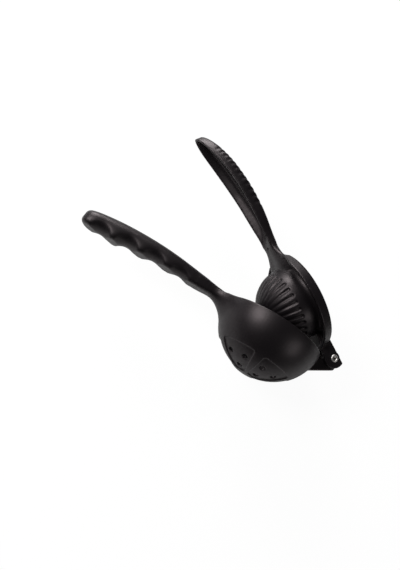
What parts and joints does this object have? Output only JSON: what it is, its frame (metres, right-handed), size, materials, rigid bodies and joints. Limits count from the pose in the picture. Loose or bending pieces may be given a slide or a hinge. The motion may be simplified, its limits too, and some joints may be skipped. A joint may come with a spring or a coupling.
{
  "type": "citrus_press",
  "caption": "Hand citrus press of black coated cast aluminium: a round drain bowl and a fluted pressing dome on two long handles, joined by a hollow rivet",
  "frame": {"origin": "middle of the hinge rivet, on its axis", "axes": "+Z along the rivet and up as the press lies on its side, -X towards the handle tips, +Y out of the bowl's mouth towards the upper lever"},
  "size_m": [0.2786, 0.1732, 0.105],
  "materials": {
    "coated_casting": "matte black powder coat over cast aluminium",
    "rivet_steel": "bright rolled steel"
  },
  "bodies": {
    "lower": {"lower_lever": "coated_casting"},
    "upper": {"upper_lever": "coated_casting", "hinge_rivet": "rivet_steel"}
  },
  "joints": [
    {"name": "hinge", "type": "hinge", "parent": "lower", "child": "upper", "pos_m": [0, 0, 0], "axis": [0, 0, -1], "range_deg": [-26.8, 151]}
  ]
}
